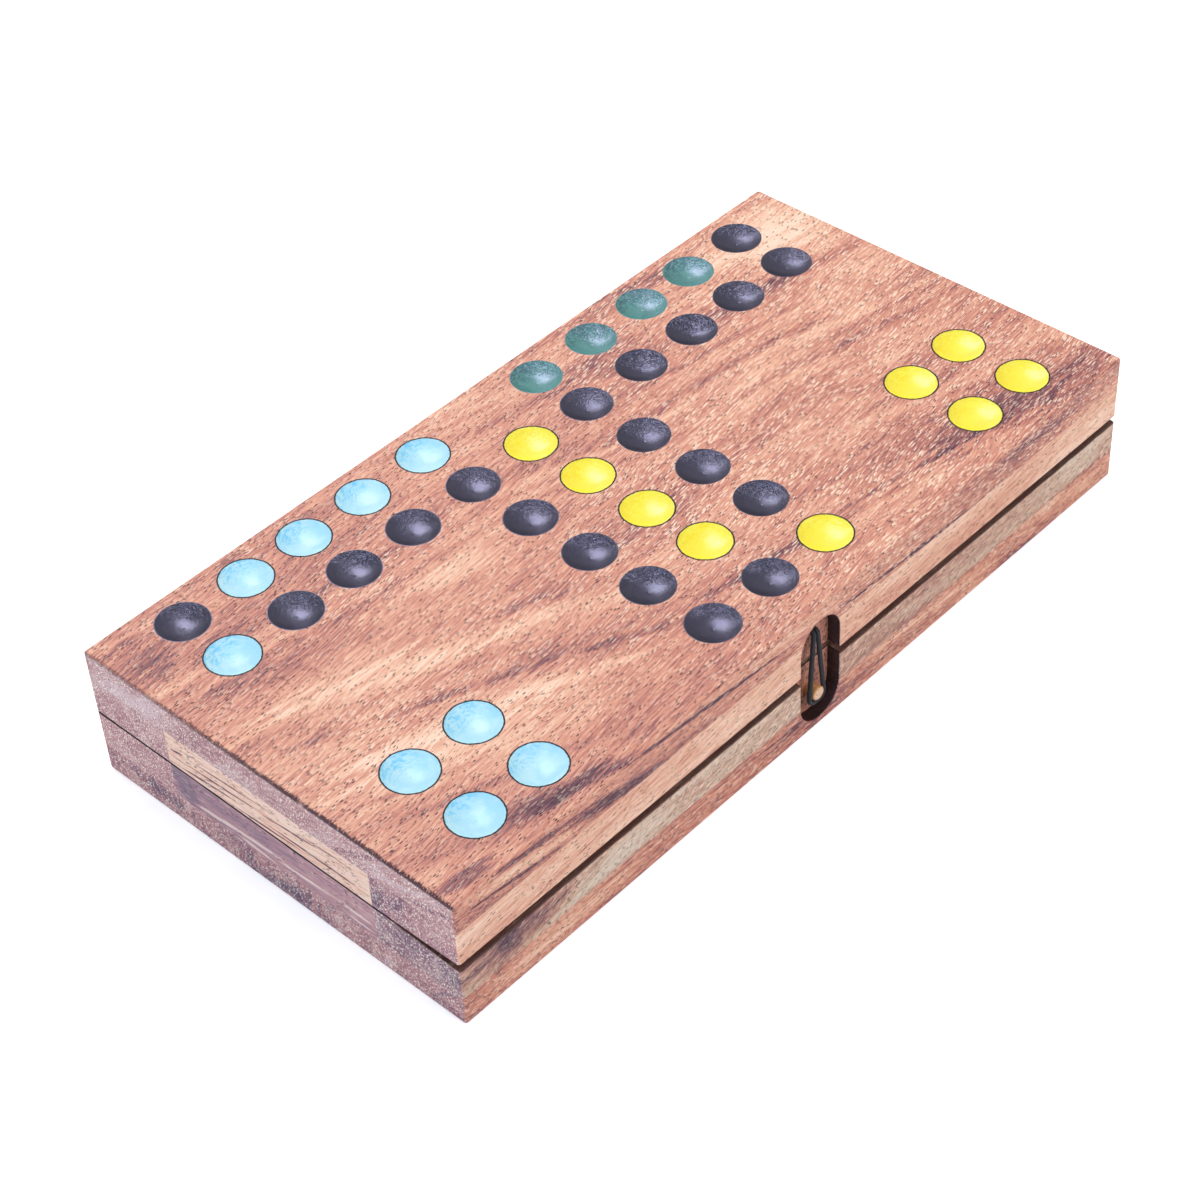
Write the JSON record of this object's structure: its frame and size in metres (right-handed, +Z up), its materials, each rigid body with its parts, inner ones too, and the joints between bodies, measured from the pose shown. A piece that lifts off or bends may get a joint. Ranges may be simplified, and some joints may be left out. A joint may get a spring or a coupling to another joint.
{
  "type": "folding ludo board box",
  "caption": "Wooden ludo board that folds into a storage box: hinged trays with painted marble hollows outside, held shut by an elastic loop over a peg.",
  "frame": {"origin": "middle of the closed box's bounding box, on the surface it stands on", "axes": "+X along the box to the end with the yellow home, +Y to the hinged back edge, -Y to the latch, +Z up through the lid"},
  "size_m": [0.29, 0.1468, 0.0464],
  "materials": {
    "board_wood": "clear satin lacquer over reddish-brown hardwood, grain along X",
    "rail_wood": "clear satin lacquer over paler hardwood, grain along the rail",
    "end_rail_wood": "clear satin lacquer over hardwood, grain along the rail",
    "peg_wood": "bare pale dowel",
    "black_enamel": "brushed gloss enamel",
    "blue_enamel": "brushed gloss enamel",
    "yellow_enamel": "brushed gloss enamel",
    "green_enamel": "brushed gloss enamel",
    "red_enamel": "brushed gloss enamel",
    "brass": "satin",
    "elastic": "woven cover over rubber"
  },
  "bodies": {
    "base": {"base_board": "board_wood", "base_front_rail": "rail_wood", "base_back_rail": "rail_wood", "base_left_rail": "end_rail_wood", "base_right_rail": "end_rail_wood", "base_black_enamel": "black_enamel", "base_green_enamel": "green_enamel", "base_red_enamel": "red_enamel", "left_hinge_base_leaf": "brass", "left_hinge_pin": "brass", "right_hinge_base_leaf": "brass", "right_hinge_pin": "brass", "base_hinge_screws": "brass", "latch_peg": "peg_wood"},
    "lid": {"lid_board": "board_wood", "lid_front_rail": "rail_wood", "lid_back_rail": "rail_wood", "lid_left_rail": "end_rail_wood", "lid_right_rail": "end_rail_wood", "lid_black_enamel": "black_enamel", "lid_blue_enamel": "blue_enamel", "lid_yellow_enamel": "yellow_enamel", "lid_green_enamel": "green_enamel", "left_hinge_lid_leaf": "brass", "right_hinge_lid_leaf": "brass", "lid_hinge_screws": "brass", "elastic_anchor": "elastic"},
    "latch_loop": {"elastic_loop": "elastic"}
  },
  "joints": [
    {"name": "lid_hinge", "type": "hinge", "parent": "base", "child": "lid", "pos_m": [0, 0.0717, 0.0232], "axis": [-1, 0, 0], "range_deg": [0, 180], "deforming": ["elastic_loop"]},
    {"name": "loop_swing", "type": "hinge", "parent": "lid", "child": "latch_loop", "pos_m": [0.0012, -0.0688, 0.0339], "axis": [-1, 0, 0], "range_deg": [0, 90], "deforming": ["elastic_loop"]}
  ]
}
